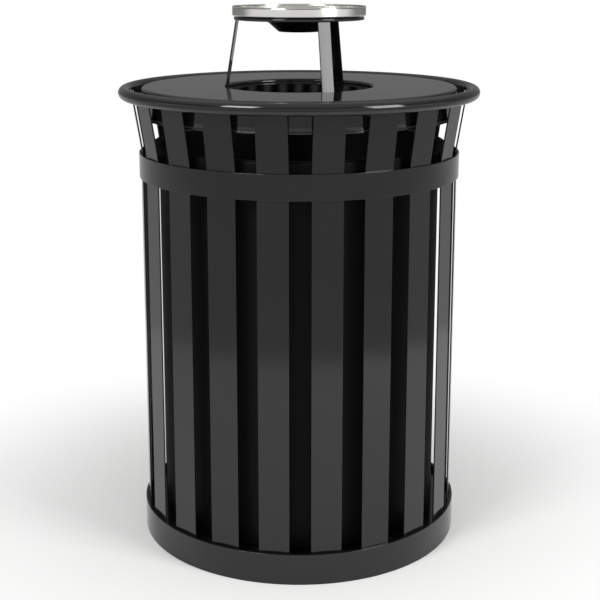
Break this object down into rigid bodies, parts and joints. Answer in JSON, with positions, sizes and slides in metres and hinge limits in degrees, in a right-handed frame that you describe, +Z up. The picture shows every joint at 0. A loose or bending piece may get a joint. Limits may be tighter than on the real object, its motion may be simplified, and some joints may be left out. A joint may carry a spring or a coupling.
{
  "type": "outdoor trash can",
  "caption": "Round slatted steel outdoor trash can with a flared top ring, a loose flat lid with a round opening, a raised ash pan on legs and a plastic liner.",
  "frame": {"origin": "centre of the base, on the floor", "axes": "+Z up; the side the picture shows as the front faces -Y, and +X is to its right"},
  "size_m": [0.7109, 0.711, 1.06],
  "materials": {
    "black_powder_coat": "smooth semi-gloss powder coat",
    "brushed_stainless": "spun and brushed",
    "black_plastic": "moulded, matt"
  },
  "bodies": {
    "frame": {"base_band": "black_powder_coat", "middle_band": "black_powder_coat", "top_ring": "black_powder_coat", "bottom_plate": "black_powder_coat", "slat_01": "black_powder_coat", "slat_02": "black_powder_coat", "slat_03": "black_powder_coat", "slat_04": "black_powder_coat", "slat_05": "black_powder_coat", "slat_06": "black_powder_coat", "slat_07": "black_powder_coat", "slat_08": "black_powder_coat", "slat_09": "black_powder_coat", "slat_10": "black_powder_coat", "slat_11": "black_powder_coat", "slat_12": "black_powder_coat", "slat_13": "black_powder_coat", "slat_14": "black_powder_coat", "slat_15": "black_powder_coat", "slat_16": "black_powder_coat", "slat_17": "black_powder_coat", "slat_18": "black_powder_coat", "slat_19": "black_powder_coat", "slat_20": "black_powder_coat", "lid_support_1": "black_powder_coat", "lid_support_2": "black_powder_coat", "lid_support_3": "black_powder_coat", "lid_support_4": "black_powder_coat"},
    "lid": {"lid": "black_powder_coat", "ash_holder": "black_powder_coat", "ash_leg_front": "black_powder_coat", "ash_leg_rear": "black_powder_coat", "ash_leg_left": "black_powder_coat"},
    "ash_pan": {"ash_pan": "brushed_stainless"},
    "liner": {"liner": "black_plastic"}
  },
  "joints": [
    {"name": "lid_lift", "type": "slide", "parent": "frame", "child": "lid", "axis": [0, 0, 1], "range_m": [0, 0.95]},
    {"name": "ash_pan_lift", "type": "slide", "parent": "lid", "child": "ash_pan", "axis": [0, 0, 1], "range_m": [0, 0.06]},
    {"name": "liner_lift", "type": "slide", "parent": "frame", "child": "liner", "axis": [0, 0, 1], "range_m": [0, 0.88]}
  ],
  "couplings": [
    {"joint": "liner_lift", "follows": "lid_lift", "ratio": 0.92}
  ]
}
